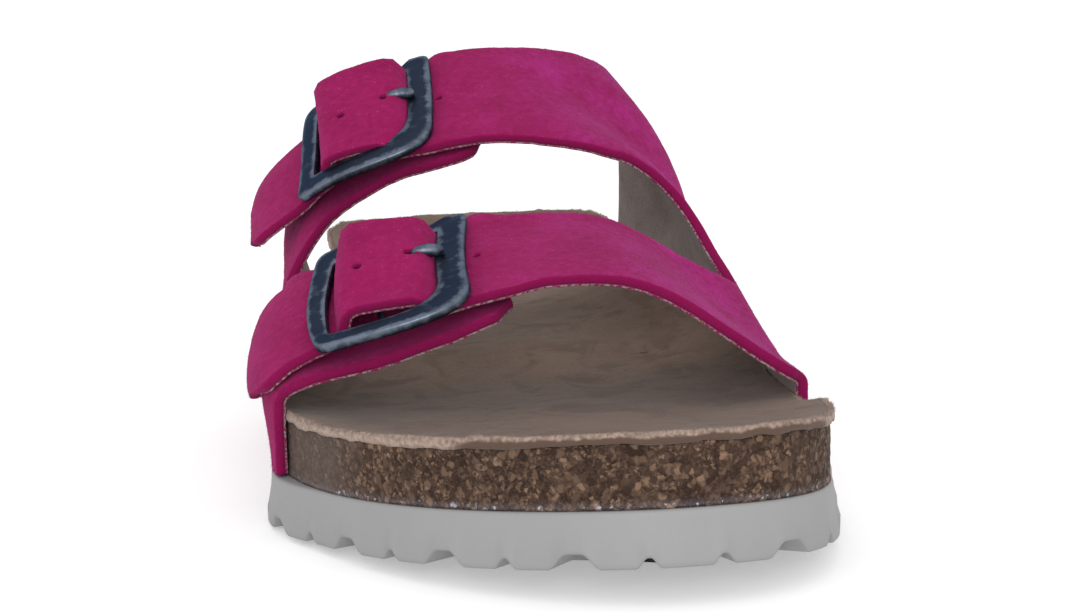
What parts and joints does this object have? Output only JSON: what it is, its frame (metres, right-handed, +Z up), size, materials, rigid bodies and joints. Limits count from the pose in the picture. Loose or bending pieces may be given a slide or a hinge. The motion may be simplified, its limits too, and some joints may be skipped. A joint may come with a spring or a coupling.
{
  "type": "sandal",
  "caption": "Open-toe suede sandal for the right foot, with buckled straps over a contoured cork footbed and a notched moulded sole.",
  "frame": {"origin": "middle of the shoe's box, at the height of the floor it stands on", "axes": "+Z up, toe towards -Y, heel towards +Y, big-toe side towards +X"},
  "size_m": [0.1068, 0.253, 0.0838],
  "materials": {
    "moulded_eva": "matt moulded foam, light grey",
    "cork": "pressed cork granules, dark brown",
    "insole_suede": "taupe suede, napped",
    "strap_suede": "magenta suede, napped",
    "buckle_metal": "antique gunmetal with burnished edges"
  },
  "bodies": {
    "root": {"outsole": "moulded_eva", "cork_midsole": "cork", "insole": "insole_suede", "upper_inner": "strap_suede", "upper_outer": "strap_suede", "buckle_rear": "buckle_metal", "buckle_front": "buckle_metal", "prong_rear": "buckle_metal", "prong_front": "buckle_metal"}
  },
  "joints": []
}
